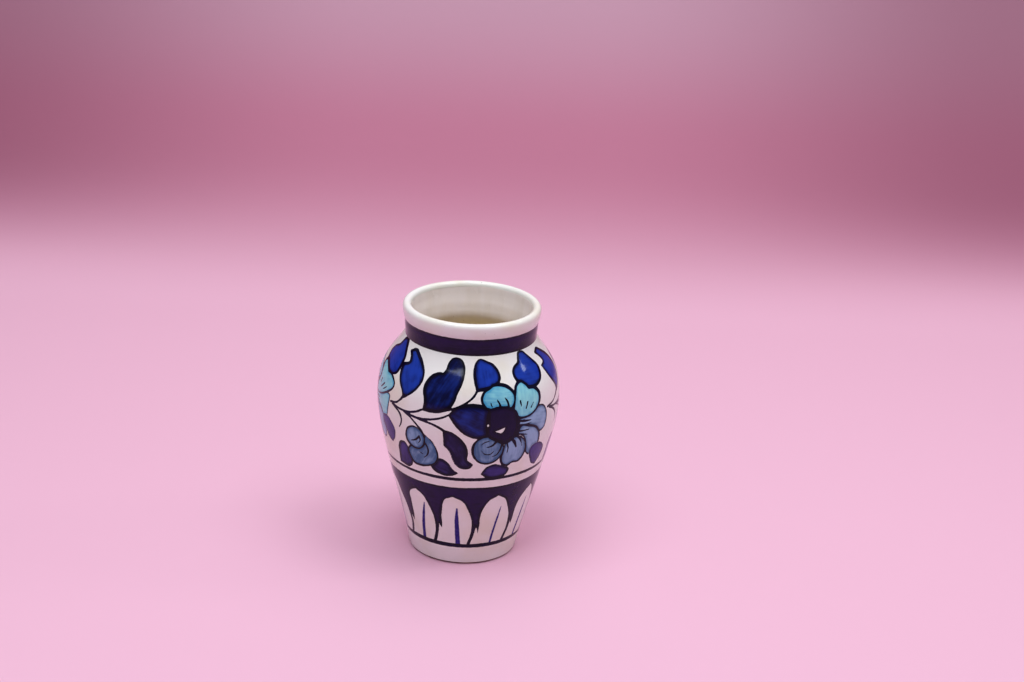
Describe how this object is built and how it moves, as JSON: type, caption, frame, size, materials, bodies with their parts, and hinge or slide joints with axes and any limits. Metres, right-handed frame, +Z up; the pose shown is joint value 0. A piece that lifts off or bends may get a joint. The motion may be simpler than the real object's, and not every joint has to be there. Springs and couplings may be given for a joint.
{
  "type": "vase",
  "caption": "Small round-bellied glazed pottery vase with a short collar, a rolled lip and a bare foot ring, for holding cut flowers.",
  "frame": {"origin": "centre of the foot ring, on the surface that the vase stands on", "axes": "+Z up along the axis that the vase was thrown on; -Y faces the middle of the shown side of the painting"},
  "size_m": [0.0838, 0.0838, 0.12],
  "materials": {
    "clay": "bare fired clay, matt, with turning marks",
    "painted_glaze": "glossy white glaze, hand-painted in cobalt, turquoise and grey-blue washes with near-black outlines",
    "liner_glaze": "thin glossy grey-white glaze, yellower towards the floor"
  },
  "bodies": {
    "root": {"foot_ring": "clay", "floor_slab": "clay", "belly_wall": "clay", "neck_collar": "clay", "outer_glaze": "painted_glaze", "inner_glaze": "liner_glaze"}
  },
  "joints": []
}
